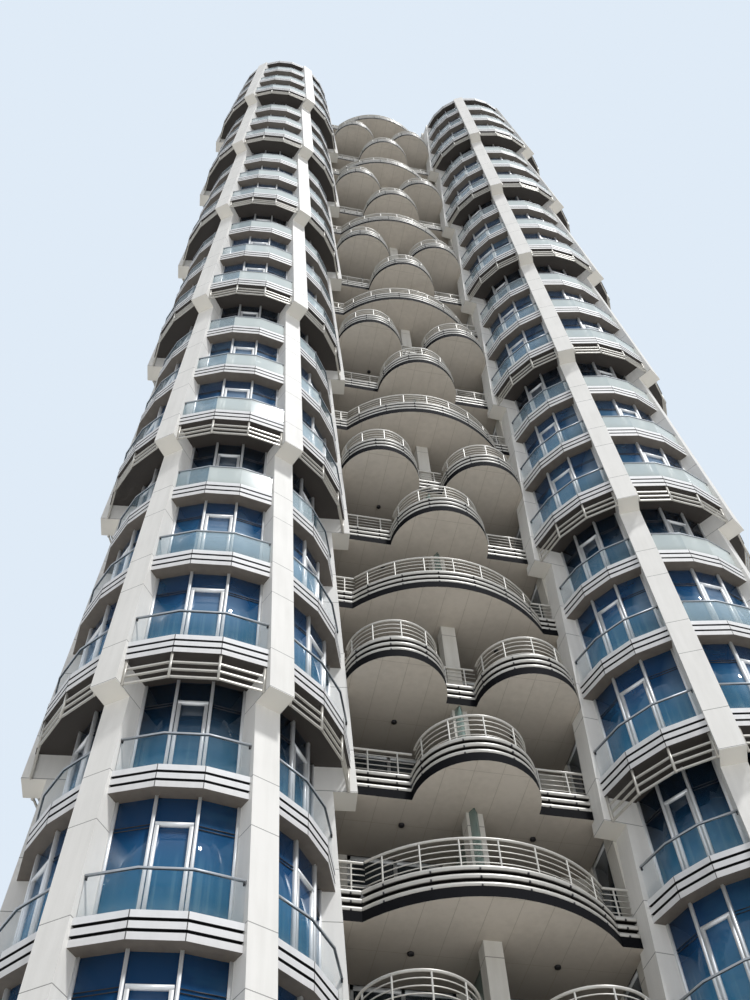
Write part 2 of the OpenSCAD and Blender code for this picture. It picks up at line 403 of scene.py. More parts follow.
class Finish(Nodes):
    """One material: a Principled shader and the nodes that feed it."""

    def __init__(self, name, **constants):
        self.material = bpy.data.materials.new(name)
        self.material.use_nodes = True
        super().__init__(self.material.node_tree)
        self.shader = self.tree.nodes["Principled BSDF"]
        for key, value in constants.items():
            self.set(key.replace("_", " ").title().replace("Ior", "IOR"), value)

    def set(self, name, value):
        """Feeds one socket of the shader."""
        self.link(value, self.shader.inputs[name])

    def place(self):
        """Object coordinates, in metres."""
        return self.node("ShaderNodeTexCoord", {}, {}, out="Object")

    def axes(self, vector):
        """The x, y and z of a vector."""
        split = self.node("ShaderNodeSeparateXYZ", {}, {"Vector": vector})
        return [Field(self, s) for s in split.socket.node.outputs]

    def facing(self):
        """The x, y and z of the surface's normal."""
        return self.axes(self.node("ShaderNodeNewGeometry", {}, {}, out="Normal"))

    def normal_z(self):
        """How far a surface looks up: 1 on a floor, -1 on a ceiling."""
        return self.facing()[2]

    def noise(self, scale, detail=3.0, vector=None):
        """Cloudy noise from 0 to 1, `scale` times finer than a metre."""
        return self.node("ShaderNodeTexNoise", {}, {
            "Vector": self.place() if vector is None else vector,
            "Scale": scale, "Detail": detail, "Roughness": 0.55}, out="Fac")

    def stretched(self, x, y, z):
        """Object coordinates, stretched for streaks that run along an axis."""
        return self.node("ShaderNodeMapping", {}, {"Vector": self.place(), "Scale": (x, y, z)})

    def ramp(self, value, low, high):
        """0 up to low, 1 from high, straight between them."""
        return self.node("ShaderNodeMapRange", {"clamp": True}, {
            "Value": value, "From Min": low, "From Max": high, "To Min": 0.0, "To Max": 1.0}, out="Result")

    def bump(self, height, distance, strength=0.4):
        """Relief of a height from 0 to 1 that stands for a distance in metres."""
        self.set("Normal", self.node("ShaderNodeBump", {}, {
            "Height": height, "Distance": distance, "Strength": strength}, out="Normal"))


# Finishes


def line_mask(value, period, offset, width):
    """1 on thin lines that lie `period` apart along a value, the first at offset."""
    return (((value - offset) / period + 0.5).fract() - 0.5).size() < width / 2 / period


def weathered(finish, colour, dark, amount=0.5):
    """A colour with broad patches, and streaks that run down the wall."""
    patches = finish.noise(6.0, 4.0)
    streaks = finish.noise(1.0, 4.0, finish.stretched(60.0, 60.0, 4.0))
    grime = finish.ramp(patches * 0.5 + streaks * 0.5, 0.42, 0.72)
    return finish.mix(grime * amount, colour, dark)


# Painted joints: heights above the storey line on the pilasters, and widths on the pilasters and walls; and
# the width of the band about the undersides at the foot of a group that holds painted shade
PILASTER_JOINTS = [0.002, 0.122]
PILASTER_JOINT_W = 0.0018
WALL_JOINT_W = 0.002
FOOT_SHADE_W = 0.004

# Painted joints of the slab edges: turn from the middle of a bay and half width, in degrees
FLAT_JOINT = 8.25
FLAT_JOINT_HALF = 0.17

# How far the dark paint of a groove reaches past its sides
GROOVE_PAINT = 0.0004

# Panels under the balconies: width along x, length along y, where the first joints lie, and their width
PANEL_W = 0.062
PANEL_L = 0.19
PANEL_FIRST_X = 0.031
PANEL_FIRST_Y = 0.02
PANEL_JOINT_W = 0.0012

# Heights between which a painted reflection of the sky makes the glass that looks along the street's axis
# pale
GUARD_SKY_REFLECTION = (2.12, 2.65)
PANE_SKY_REFLECTION = (1.5, 3.0)


def pilaster_concrete():
    """Warm white panels with two fine joints a storey and cream undersides."""
    f = Finish("pilaster_concrete", roughness=0.62)
    z = f.axes(f.place())[2]
    low, high = [line_mask(z, STOREY, offset, PILASTER_JOINT_W) for offset in PILASTER_JOINTS]
    joint = low.larger(high)
    faces = f.mix(joint, weathered(f, "#ebe9e4", "#d4d2cc", 0.6), "#8f8e8a")
    f.set("Base Color", f.mix(f.normal_z() < -0.5, faces, "#dcd8cf"))
    f.bump(f.noise(220.0, 3.0) * 0.3 + (1 - joint), 0.001)
    return f.material


def flat_joints(x, y):
    """1 on the lines where the flats of a slab edge meet.

    Folded into one quarter of the tower, a point's turn about its drum's centre has the middle of a bay at
    DRUM_TURN - 30 and every 60 degrees from there, and the joints lie FLAT_JOINT to both sides of it.
    """
    across, out = x.size() - HALF_GAP, y.size() - HALF_GAP
    turn = x.math("ARCTAN2", across, out) * (180 / np.pi)
    aside = (((turn - (DRUM_TURN - 30)) / 60 + 0.5).fract() - 0.5).size() * 60
    return (aside - FLAT_JOINT).size() < FLAT_JOINT_HALF


def banded_concrete():
    """Pale slab edges whose grooves and joints are dark, grey undersides with painted shade at the foot of
    each group, and a grey roof.
    """
    f = Finish("banded_concrete", roughness=0.6)
    x, y, z = f.axes(f.place())
    up = f.normal_z()
    level = (z / STOREY).fract() * STOREY
    first = EDGE_LOW + BAND + GROOVE / 2
    reach = GROOVE / 2 + GROOVE_PAINT
    groove = ((level - first).size() < reach) + ((level - first - BAND - GROOVE).size() < reach)
    rise = f.ramp(level - EDGE_LOW, 0.0, 3 * (BAND + GROOVE))
    face = f.mix(rise, weathered(f, "#dbdad9", "#c3c1be", 0.6), weathered(f, "#e6e7e8", "#cfd0d1", 0.6))
    face = f.mix(flat_joints(x, y), face, "#4a4846")
    # Painted shade: the whole underside at the foot of each group, behind the louvres, is painted near-black
    foot = line_mask(z, GROUP, EDGE_LOW, FOOT_SHADE_W)
    under = f.mix(foot, weathered(f, "#6f6860", "#5a534c", 0.8), "#3f3a36")
    roof = weathered(f, "#9b9a96", "#7e7c77", 0.9)
    colour = f.mix(up < -0.5, face, under)
    colour = f.mix(up > 0.5, colour, roof)
    f.set("Base Color", f.mix(groove, colour, "#0e0e10"))
    f.bump(f.noise(160.0, 3.0), 0.0006)
    return f.material


def wall_concrete():
    """Smooth grey-cream walls and columns of the recesses, with one joint a storey."""
    f = Finish("wall_concrete", roughness=0.66)
    z = f.axes(f.place())[2]
    joint = line_mask(z, STOREY, 0.0, WALL_JOINT_W)
    f.set("Base Color", f.mix(joint, weathered(f, "#d6d3cb", "#bab5aa", 0.7), "#8d8982"))
    f.bump(f.noise(180.0, 3.0), 0.0006)
    return f.material


def soffit_panels():
    """Warm grey panels under the balconies, with painted shade that darkens them deep in the recess,
    near-black edges and pale tops.
    """
    f = Finish("soffit_panels", roughness=0.8, specular_ior_level=0.1)
    x, y, z = f.axes(f.place())
    up = f.normal_z()
    seams_x = line_mask(x, PANEL_W, PANEL_FIRST_X, PANEL_JOINT_W)
    seams_y = line_mask(y, PANEL_L, PANEL_FIRST_Y, PANEL_JOINT_W)
    seams = seams_x.larger(seams_y)
    # Painted shade: the panels darken towards the back of the recess
    inward = HALF_GAP - x.size().larger(y.size())
    paint = f.mix(f.ramp(inward, -0.06, 0.16), weathered(f, "#d0c7ba", "#bbb2a5", 0.7), "#968f86")
    under = f.mix(seams * 0.5, paint, "#8a8171")
    top = weathered(f, "#a7a29a", "#8d8880", 0.7)
    flat = f.mix(up > 0.0, under, top)
    edge = weathered(f, "#0c0c10", "#060607", 0.7)
    f.set("Base Color", f.mix(up.size() > 0.5, edge, flat))
    f.bump(f.noise(140.0, 2.0) * 0.4 - seams, 0.0006)
    return f.material


def rail_paint(name, colour, dark, below=None):
    """Satin paint on steel, with dust on what faces up and, where `below` is given, painted shade on the
    underside.
    """
    f = Finish(name, metallic=0.25, roughness=0.38)
    dust = f.ramp(f.normal_z() + f.noise(30.0, 3.0), 0.9, 1.6)
    tone = f.mix(dust * 0.4, weathered(f, colour, dark, 0.5), "#b9b2a4")
    if below:
        # Painted shade: faces that look down take the `below` colour
        tone = f.mix(f.ramp(f.normal_z() * -1, 0.66, 0.88), tone, below)
    f.set("Base Color", tone)
    f.bump(f.noise(300.0, 2.0), 0.0003, 0.2)
    return f.material


def painted_sky_reflection(f, z, heights):
    """How much painted reflection of the pale sky a pane shows, growing between two heights.

    It also grows with x * 0.17 + |y| * 0.985 of the pane's normal, so that it is 1 only where the pane
    looks along the street's axis.
    """
    x, y = f.facing()[:2]
    return f.ramp(x * 0.17 + y.size() * 0.985, 0.78, 0.95) * f.ramp(z, *heights)


def balustrade_glass():
    """Clear glass with a blue-green tint and dirt along its foot; a painted reflection of the sky makes it
    paler and less clear with height, most of all where it looks along the street's axis.
    """
    f = Finish("balustrade_glass", roughness=0.06, ior=1.5)
    z = f.axes(f.place())[2]
    level = ((z - EDGE_LOW - EDGE_H) / STOREY).fract() * STOREY
    dirt = 1 - f.ramp(level + f.noise(30.0, 3.0) * 0.02, 0.012, 0.04)
    # Painted reflection: the glass turns paler and less clear with height
    high = f.ramp(z + f.noise(1.5, 2.0) * 0.5, 2.4, 5.6)
    pale = painted_sky_reflection(f, z, GUARD_SKY_REFLECTION)
    tint = f.mix(pale, f.mix(high, "#6fb0cf", "#d3e2e4"), "#e0e9e6")
    f.set("Base Color", f.mix(dirt * 0.5, tint, "#b3b8b0"))
    f.set("Alpha", 0.035 + high * 0.22 + pale * 0.55 + dirt * 0.08)
    return f.material


def window_glass():
    """Deep blue panes with faint folds of cloth behind them, and painted light on the glass.

    A painted reflection makes them lighter towards the floor, lays pale patches of sky on them and makes them
    paler with height, most of all where they look along the street's axis. Under the deep slab at the foot of
    the next group, painted shade darkens them towards their head.
    """
    f = Finish("window_glass", roughness=0.04, ior=1.52, specular_ior_level=0.3)
    z = f.axes(f.place())[2]
    level = ((z - EDGE_LOW) / STOREY).fract()
    phase = ((z - EDGE_LOW) / GROUP).fract() * 3
    wide = f.noise(5.0, 2.0, f.stretched(1.0, 1.0, 0.45))
    ripple = f.noise(9.0, 3.0, f.stretched(1.0, 1.0, 3.0))
    folds = f.noise(1.0, 2.0, f.stretched(95.0, 95.0, 0.7))
    # Pale patches of painted sky reflection
    sky = f.ramp(wide + ripple * 0.4 - level * 0.2, 0.52, 0.78)
    # Painted reflection: lighter towards the floor, darker towards the head
    deep = f.mix(f.ramp(level, 0.15, 0.75), "#3f8db8", "#1c4873")
    cloth = f.ramp(folds, 0.48, 0.70) * (1 - f.ramp(level, 0.4, 0.65))
    # Painted reflection: the panes grow paler with height
    high = f.ramp(z, 2.5, 7.2)
    pane = f.mix(sky * 0.6, f.mix(cloth * 0.4, deep, "#8fb9c9"), f.mix(high, "#447a9c", "#8dadc0"))
    pane = f.mix(high * 0.4, pane, "#86a6c6")
    # Painted reflection of the pale sky where the pane looks along the street's axis
    pane = f.mix(painted_sky_reflection(f, z, PANE_SKY_REFLECTION) * (0.5 + sky * 0.4), pane, "#9db6cd")
    # Painted shade under the deep slab at the foot of the next group, darkest at the pane's head
    f.set("Base Color", f.mix(f.ramp(phase, 2.3, 2.75) * 0.9, pane, "#0a1b28"))
    f.set("Alpha", 0.92)
    return f.material


def recess_glass():
    """Nearly black panes at the back of the recesses."""
    f = Finish("recess_glass", roughness=0.08, ior=1.5, specular_ior_level=0.3)
    f.set("Base Color", f.mix(f.noise(7.0, 3.0), "#141a20", "#2c3840"))
    return f.material


def blind_cloth():
    """Pale blinds with fine upright streaks of painted shade for their folds."""
    f = Finish("blind_cloth", roughness=0.85)
    folds = f.noise(1.0, 2.0, f.stretched(260.0, 260.0, 1.0))
    # Painted shade in the folds: darker upright streaks
    f.set("Base Color", f.mix(f.ramp(folds, 0.35, 0.65), "#d9d6cd", "#b5b0a4"))
    return f.material


def frosted_glass():
    """Pale green obscured glass of the screens beside the columns."""
    f = Finish("frosted_glass", roughness=0.35, ior=1.5)
    f.set("Base Color", f.mix(f.noise(25.0, 3.0), "#9db8b0", "#86a39c"))
    f.set("Alpha", 0.45)
    return f.material


def dark_metal():
    """Near-black paint of brackets, clips, lamps and seams, and of the sheet behind the tubes, where it is
    painted shade.
    """
    f = Finish("dark_metal", metallic=0.3, roughness=0.5)
    f.set("Base Color", f.mix(f.noise(90.0, 3.0), "#1f1e20", "#343235"))
    return f.material


PILASTER = pilaster_concrete()
BANDED = banded_concrete()
WALLS = wall_concrete()
SOFFIT = soffit_panels()
RAILS = rail_paint("rail_paint", "#cdcac3", "#b0aca2")
# The last colour given to the tube paint and the silver paint is painted shade on their undersides
TUBES = rail_paint("tube_paint", "#c8c5be", "#a5a29b", "#191613")
FRAMES = rail_paint("frame_paint", "#eceeef", "#cccfd1")
LOUVRES = rail_paint("louvre_paint", "#c4c0b7", "#a5a097")
SILVER = rail_paint("silver_paint", "#b2b8be", "#969ca2", "#3d4247")
GUARDS = balustrade_glass()
GLASS = window_glass()
RECESS_GLASS = recess_glass()
BLINDS = blind_cloth()
FROSTED = frosted_glass()
DARK = dark_metal()

CAD_FINISHES = {"cream_concrete": PILASTER, "banded_concrete": BANDED, "soffit_concrete": SOFFIT,
                "balustrade_glass": GUARDS, "grey_rails": RAILS, "white_rails": LOUVRES}
for sub in frame["record"]["subparts"]:
    thing = frame["nodes"][sub["node"]]
    finish = CAD_FINISHES[sub["material_slot"]]
    if sub["node"].startswith("recess"):
        finish = WALLS
    if sub["node"] == "balcony_tubes":
        finish = TUBES
    thing.data.materials.clear()
    thing.data.materials.append(finish)

# Windows of the drums: their line steps in with the slab edge above them

FLOOR_TOP = EDGE_LOW + EDGE_H
HEAD = STOREY + EDGE_LOW
WINDOW_SET = 0.026

# Frames reach this far behind the window line, and their bars are this wide
FRAME_DEEP = 0.008
SILL = 0.010
JAMB = 0.006
MULLION = 0.006
DOOR_STILE = 0.007

# The door's head, its foot and its gap to the mullions
DOOR_HEAD = HEAD - 0.058
DOOR_FOOT = FLOOR_TOP + 0.004
DOOR_GAP = 0.002

# How far bars stand out before the window line
MULLION_OUT = 0.003
STILE_OUT = 0.002
DOOR_RAIL_OUT = 0.0024

# Seams of the transoms: height, drop below the door's head, front and back behind the window line
SEAM_H = 0.0013
SEAM_DROPS = [0.002, 0.009]
SEAM_FRONT = 0.0025
SEAM_BACK = 0.006

# Panes: distance behind the window line, and thickness
PANE_BACK = 0.004
PANE_D = 0.002

all_storeys = range(STOREYS)
storeys_in_phase = {phase: [k for k in all_storeys if k % 3 == phase] for phase in range(3)}


def window_r(phase):
    """Distance of the window line's corners from the drum's centre on a storey of each group."""
    return face_at((phase + 1) * STOREY + EDGE_LOW) - EDGE_SET - WINDOW_SET


def window_frames(r):
    """Sill and jambs of one bay, and the mullions and door frame of its middle flat."""
    parts = []
    for side, middle, along, width in zip((-1, 0, 1), *flat_frames(r)):
        half = width / 2
        bars = [(-half, half, FLOOR_TOP, FLOOR_TOP + SILL, 0.0)]
        if side:
            x0, x1 = sorted((side * half, side * half - side * JAMB))
            bars.append((x0, x1, FLOOR_TOP, HEAD, 0.0))
        else:
            door = half - MULLION / 2 - DOOR_GAP
            bars += [(-half - MULLION / 2, -half + MULLION / 2, FLOOR_TOP, HEAD, -MULLION_OUT),
                     (half - MULLION / 2, half + MULLION / 2, FLOOR_TOP, HEAD, -MULLION_OUT),
                     (-door, -door + DOOR_STILE, DOOR_FOOT, DOOR_HEAD, -STILE_OUT),
                     (door - DOOR_STILE, door, DOOR_FOOT, DOOR_HEAD, -STILE_OUT),
                     (-door, door, DOOR_HEAD - DOOR_STILE, DOOR_HEAD, -DOOR_RAIL_OUT),
                     (-door, door, DOOR_FOOT, DOOR_FOOT + DOOR_STILE, -DOOR_RAIL_OUT)]
        for x0, x1, z0, z1, front in bars:
            parts.append(on_flat(box((x0, front, z0), (x1, FRAME_DEEP, z1)), middle, along))
    return together(parts)


def dark_seams(r):
    """The two thin lines of each side pane's transom, from its jamb to the mullion."""
    parts = []
    for side, middle, along, width in zip((-1, 0, 1), *flat_frames(r)):
        if side == 0:
            continue
        a, b = sorted((side * (width / 2 - JAMB), -side * (width / 2 - MULLION / 2)))
        for drop in SEAM_DROPS:
            z = DOOR_HEAD - drop
            parts.append(on_flat(box((a, SEAM_FRONT, z), (b, SEAM_BACK, z + SEAM_H)), middle, along))
    return together(parts)


def window_panes(r):
    """The three panes of one bay as one bent sheet."""
    return bay_ring(r - PANE_BACK, r - PANE_BACK - PANE_D, FLOOR_TOP, HEAD)


for name, slot_name, finish, shape in [("window_frames", "frames", FRAMES, window_frames),
                                       ("window_seams", "dark_metal", DARK, dark_seams),
                                       ("window_panes", "window_glass", GLASS, window_panes)]:
    bays = [on_drums(shape(window_r(phase)), levels) for phase, levels in storeys_in_phase.items()]
    piece(name, slot_name, finish, *bays)

# Blinds hang this far behind the window line, in waves of this height and so many radians a metre
BLIND_SET = 0.018
BLIND_STEPS = 12
BLIND_WAVE = 0.0025
BLIND_FOLDS = 420

# Gaps of a blind below the window head and above the floor
BLIND_TOP_GAP = 0.01
BLIND_FLOOR_GAP = 0.005

# Share of panes without a blind at the ground, how much it falls each storey, and share of raised blinds
BARE_SHARE = 0.45
BARE_FALL = 0.012
RAISED_SHARE = 0.35


def blind(width, drop, spread):
    """One hanging blind of a flat, in the middle of it: y = BLIND_WAVE * sin(BLIND_FOLDS * x).

    It covers 0.35 + 0.6 * spread of the width. Where `drop` is at most RAISED_SHARE its foot hangs
    0.10 + 0.25 * drop above the floor, and else BLIND_FLOOR_GAP above it.
    """
    low = FLOOR_TOP + BLIND_FLOOR_GAP if drop > RAISED_SHARE else FLOOR_TOP + 0.10 + 0.25 * drop
    span = width * (0.35 + 0.6 * spread) * 0.5
    x = np.linspace(-span, span, BLIND_STEPS + 1)
    columns = np.stack([x, BLIND_WAVE * np.sin(x * BLIND_FOLDS)], axis=1)
    points = np.concatenate([np.c_[columns, np.full(len(x), z)] for z in (low, HEAD - BLIND_TOP_GAP)])
    i = np.arange(BLIND_STEPS)
    return points, np.stack([i, i + 1, i + BLIND_STEPS + 2, i + BLIND_STEPS + 1], axis=1)


def blinds(rng):
    """Blinds behind some of the panes, drawn by chance: bare or covered, how low and how wide."""
    made = []
    for drum, turn in DRUM_TURNS.items():
        x, y = drum_centre(drum)
        for bay in BAY_TURNS:
            for k in all_storeys:
                for middle, along, width in zip(*flat_frames(window_r(k % 3) - BLIND_SET)):
                    drop, cover, spread = rng.random(3)
                    if cover >= BARE_SHARE - BARE_FALL * k:
                        hung = on_flat(blind(width, drop, spread), middle, along)
                        made.append(turned(hung, turn + bay, (x, y, k * STOREY)))
    return made


piece("blinds", "curtains", BLINDS, *blinds(np.random.default_rng(7)))

# Edges of the drums: handrails, clips and louvres

GUARD_TOP = FLOOR_TOP + GUARD_H

# Handrail: how far it stands out and in from the glass line, and its height
GRIP_OUT = 0.0015
GRIP_IN = 0.003
GRIP_H = 0.0038

# Clips: width, height, how far out, in and aside of the glass line's end, and their turn
CLIP_W = 0.0024
CLIP_H = 0.007
CLIP_OUT = 0.0008
CLIP_IN = 0.003
CLIP_ASIDE = 0.003
CLIP_TURN = 25.0


def guard_clips(r):
    """Dark clips that hold the glass at both ends of a bay."""
    parts = []
    for (x, y), side in zip(bay_corners(r)[[0, 3]], (-1, 1)):
        aside = -side * CLIP_ASIDE
        low, high = aside - CLIP_W / 2, aside + CLIP_W / 2
        clip = box((low, -CLIP_OUT, GUARD_TOP - CLIP_H), (high, CLIP_IN, GUARD_TOP))
        parts.append(turned(clip, side * CLIP_TURN, (x, y, 0.0)))
    return together(parts)


handrails, clips = [], []
for phase, levels in storeys_in_phase.items():
    r = edge_r(phase) - GUARD_SET
    handrails.append(on_drums(bay_ring(r + GRIP_OUT, r - GRIP_IN, GUARD_TOP, GUARD_TOP + GRIP_H), levels))
    clips.append(on_drums(guard_clips(r), levels))
piece("drum_handrails", "white_rails", SILVER, *handrails)
piece("guard_clips", "dark_metal", DARK, *clips)

# Louvres: their setback from the slab edge, the rails' thickness and pitch
LOUVRE_SET = 0.004
LOUVRE_R = edge_r(0) - LOUVRE_SET
LOUVRE_D = 0.004
LOUVRE_PITCH = 0.021

# Hangers: thickness, setback from the rails' front, foot, and the end ones' share of a flat from its corner
HANGER_D = 0.005
HANGER_SET = 0.001
HANGER_LOW = -0.002
HANGER_ASIDE = 0.03


def louvre_rails():
    """Three rails under a group's lowest slab edge."""
    heights = LOUVRE_PITCH * np.arange(3)
    return together([bay_ring(LOUVRE_R, LOUVRE_R - LOUVRE_D, z, z + LOUVRE_D) for z in heights])


def louvre_hangers():
    """Upright bars that carry the rails at the corners of the flats and near the pilasters."""
    corners = bay_corners(LOUVRE_R - HANGER_SET)
    ends = corners[[0, 3]] + (corners[[1, 2]] - corners[[0, 3]]) * HANGER_ASIDE
    places = np.concatenate([ends, corners[1:3]])
    return together([post(x, y, HANGER_LOW, EDGE_LOW, HANGER_D, sides=4) for x, y in places])


group_feet = [3 * g for g in range(1, GROUPS)]
piece("louvre_rails", "white_rails", LOUVRES, on_drums(louvre_rails(), group_feet, UNSEEN_DRUMS))
piece("louvre_hangers", "white_rails", LOUVRES, on_drums(louvre_hangers(), group_feet))

# Balcony edges of the recesses

# The wide arc's circle, from its half chord and bow: radius and y of its centre
WIDE_R = (WIDE_HALF ** 2 + WIDE_BOW ** 2) / (2 * WIDE_BOW)
WIDE_Y = WIDE_R - WIDE_BOW - EDGE_OUT

# The three forms follow each other up the tower: the balcony on storey line k has form k % 3
KINDS = ["single", "twin", "wide"]
DECKS = range(1, STOREYS)
POST_INSET = TUBE_D + POST_D / 2

# Straight runs up to SHORTEST_RUN are left out, and BARELY is the part of a gap that adds no place
SHORTEST_RUN = 0.001
BARELY = 1e-6


def face_beside(kind, z):
    """Distance of the pilaster's face from its drum's centre at height z above a balcony's storey line."""
    return face_at(KINDS.index(kind) * STOREY + z)


def run_end(kind, inset, z, flank):
    """Where a straight run meets the face of the pilaster beside it, from the middle of the recess."""
    return HALF_GAP - (face_beside(kind, z) + (inset - EDGE_OUT) * np.cos(flank)) / np.sin(flank)


def arcs(kind, inset, z, flank):
    """Centre, radius and first and last angle of each arc of a balcony's edge.

    A twin arc ends where its outer side meets the pilaster's face: sin(t + flank) = reach / outer.
    """
    if kind == "single":
        return [(0.0, -EDGE_OUT, SINGLE_R - inset, 180.0, 360.0)]
    if kind == "twin":
        r = TWIN_R - inset
        reach = (HALF_GAP - TWIN_X) * np.sin(flank) + EDGE_OUT * np.cos(flank) - face_beside(kind, z)
        outer = r + min(inset, TUBE_D / 2)
        last = 360.0
        if reach < outer * np.sin(flank):
            last = 360 + np.degrees(np.arcsin(reach / outer) - flank)
        return [(-TWIN_X, -EDGE_OUT, r, 540 - last, 360.0), (TWIN_X, -EDGE_OUT, r, 180.0, last)]
    spread = np.degrees(np.arcsin(WIDE_HALF / WIDE_R))
    return [(0.0, WIDE_Y, WIDE_R - inset, 270 - spread, 270 + spread)]


def runs(kind, inset, z, flank):
    """First and last x of each straight run of a balcony's edge."""
    end = run_end(kind, inset, z, flank)
    start = {"single": SINGLE_R - inset, "twin": TWIN_X + TWIN_R - inset,
             "wide": (WIDE_R - inset) * WIDE_HALF / WIDE_R}[kind]
    outer = [(-end, -start), (start, end)] if start < end - SHORTEST_RUN else []
    middle = TWIN_X - TWIN_R + inset
    return outer + [(-middle, middle)] if kind == "twin" else outer


def edge_line(kind, inset, z, d, steps, sides, flank, up=None):
    """A bar along the whole edge of a balcony.

    Its arcs have the points centre + radius * (cos t, sin t), and its straight runs lie beside them.
    """
    parts = []
    for cx, cy, r, first, last in arcs(kind, inset, z, flank):
        t = np.radians(np.linspace(first, last, steps + 1))
        parts.append(bar(np.c_[cx + r * np.cos(t), cy + r * np.sin(t), np.full(steps + 1, z)], d, up, sides))
    for a, b in runs(kind, inset, z, flank):
        parts.append(bar([[a, -EDGE_OUT + inset, z], [b, -EDGE_OUT + inset, z]], d, up, sides))
    return together(parts)


def edge_points(kind, inset, gap, flank):
    """Places spread evenly along a balcony's edge, at most gap apart, each with its outward direction."""
    places = []
    for cx, cy, r, first, last in arcs(kind, inset, DECK_TOP, flank):
        n = int(np.ceil(r * radians(last - first) / gap - BARELY))
        for t in np.radians(first + (np.arange(n) + 0.5) * (last - first) / n):
            places.append((cx + r * np.cos(t), cy + r * np.sin(t), np.degrees(t) + 90))
    for a, b in runs(kind, inset, DECK_TOP, flank):
        n = int(np.ceil((b - a) / gap - BARELY))
        for i in range(n):
            places.append((a + (i + 0.5) * (b - a) / n, -EDGE_OUT + inset, 0.0))
    return places


def storeys_of(kind):
    """The storeys whose balconies have this form."""
    return [k for k in DECKS if KINDS[k % 3] == kind]


TUBES_TOP = DECK_TOP + 2 * TUBE_PITCH + TUBE_D

# Thin rails, spread evenly between the tubes and the handrail
THIN_COUNT = 4
THIN_D = 0.0019
THIN_RAILS = TUBES_TOP + (RAIL_Z - TUBES_TOP) * np.arange(1, THIN_COUNT + 1) / (THIN_COUNT + 1)

# Brackets: inset from the edge, gap, width, reach out and in, height, and drop below the tube's middle
BRACKET_INSET = 0.0015
BRACKET_GAP = 0.115
BRACKET_W = 0.0034
BRACKET_OUT = 0.0015
BRACKET_IN = 0.003
BRACKET_H = 0.005
BRACKET_DROP = 0.0068

# Sheet behind the tubes: thickness, inset from the edge and top
SHEET_D = 0.0015
SHEET_INSET = TUBE_D - 0.0003
SHEET_TOP = TUBES_TOP - 0.003


def thin_rails(kind, steps, flank):
    """The thin rails between the tubes and the handrail."""
    return together([edge_line(kind, POST_INSET, z, THIN_D, steps, 4, flank) for z in THIN_RAILS])


def tube_z(j):
    """Height of tube j's middle above the storey line, counted from the lowest."""
    return DECK_TOP + TUBE_D / 2 + j * TUBE_PITCH


def tube_brackets(kind, flank):
    """Dark brackets at the lower edge of each tube, reaching down to the tube or the slab below."""
    bracket = box((-BRACKET_W / 2, -BRACKET_OUT, 0.0), (BRACKET_W / 2, BRACKET_IN, BRACKET_H))
    parts = []
    for j in range(3):
        for x, y, turn in edge_points(kind, BRACKET_INSET, BRACKET_GAP, flank):
            parts.append(turned(bracket, turn, (x, y, tube_z(j) - BRACKET_DROP)))
    return together(parts)


def backing(kind, steps, flank):
    """The sheet that the tubes stand on, from the slab up to the top tube: an upstand painted near-black to
    stand for the shade in the gaps between the tubes.
    """
    middle = (DECK_TOP + SHEET_TOP) / 2
    return edge_line(kind, SHEET_INSET, middle, SHEET_D, steps, 4, flank, SHEET_TOP - DECK_TOP)


def posts(kind, flank):
    """The posts that carry the thin rails and the handrail."""
    places = edge_points(kind, POST_INSET, POST_GAP, flank)
    return together([post(x, y, DECK_TOP, RAIL_Z, POST_D) for x, y, turn in places])


# Recesses whose edges have one shape, their flank, and the steps in an arc of a rail and of the sheet;
# the tubes, handrail and posts of the street's recess are solids
EDGES = [(STREET, FLANK, 24, 32), (REAR, FLANK, 16, 16), (SIDES, SIDE_FLANK, 16, 16)]
thin, tubes, grips, uprights, brackets, sheets = [], [], [], [], [], []
for kind in KINDS:
    levels = storeys_of(kind)
    for recesses, flank, steps, sheet_steps in EDGES:
        thin.append(in_recesses(thin_rails(kind, steps, flank), levels, recesses))
        brackets.append(in_recesses(tube_brackets(kind, flank), levels, recesses))
        sheets.append(in_recesses(backing(kind, sheet_steps, flank), levels, recesses))
        if recesses is STREET:
            continue
        for j in range(3):
            tube = edge_line(kind, TUBE_D / 2, tube_z(j), TUBE_D, steps, 8, flank)
            tubes.append(in_recesses(tube, levels, recesses))
        grip = edge_line(kind, POST_INSET, RAIL_Z, RAIL_D, steps, 6, flank)
        grips.append(in_recesses(grip, levels, recesses))
        uprights.append(in_recesses(posts(kind, flank), levels, recesses))
piece("thin_rails", "grey_rails", RAILS, *thin)
piece("unseen_tubes", "grey_rails", TUBES, *tubes)
piece("unseen_handrails", "grey_rails", RAILS, *grips)
piece("unseen_posts", "grey_rails", RAILS, *uprights)
piece("tube_brackets", "dark_metal", DARK, *brackets)
piece("tube_backing", "dark_metal", DARK, *sheets)

# Recess walls: glazing, screens and lamps

BACK_GLAZING_Y = BACK_Y + 0.006
SIDE_GLAZING_X = SIDE_X + 0.006
SIDE_WINDOW_Y0 = (BACK_Y - SIDE_WINDOW) / 2
SIDE_WINDOW_Y1 = SIDE_WINDOW_Y0 + SIDE_WINDOW

# Half the thickness of frames and panes, the width of the frames' bars, and the transom's heights
HALF_FRAME = 0.004
HALF_PANE = 0.001
BACK_RAIL = 0.010
BACK_STILE = 0.008
SIDE_RAIL = 0.008
SIDE_STILE = 0.006
TRANSOM_LOW = 0.275
TRANSOM_TOP = 0.281


def back_openings():
    """First and last x of the two openings of a back wall, between the middle pier and an outer one."""
    return [sorted((side * PIER_W / 2, side * (SIDE_X - PIER_W))) for side in (-1, 1)]


def frame_bars(a, b, head, rail, stile):
    """Head, foot and both stiles of a frame that reaches from a to b and up to head."""
    return [(a, b, head - rail, head), (a, b, DECK_TOP, DECK_TOP + rail),
            (a, a + stile, DECK_TOP, head), (b - stile, b, DECK_TOP, head)]


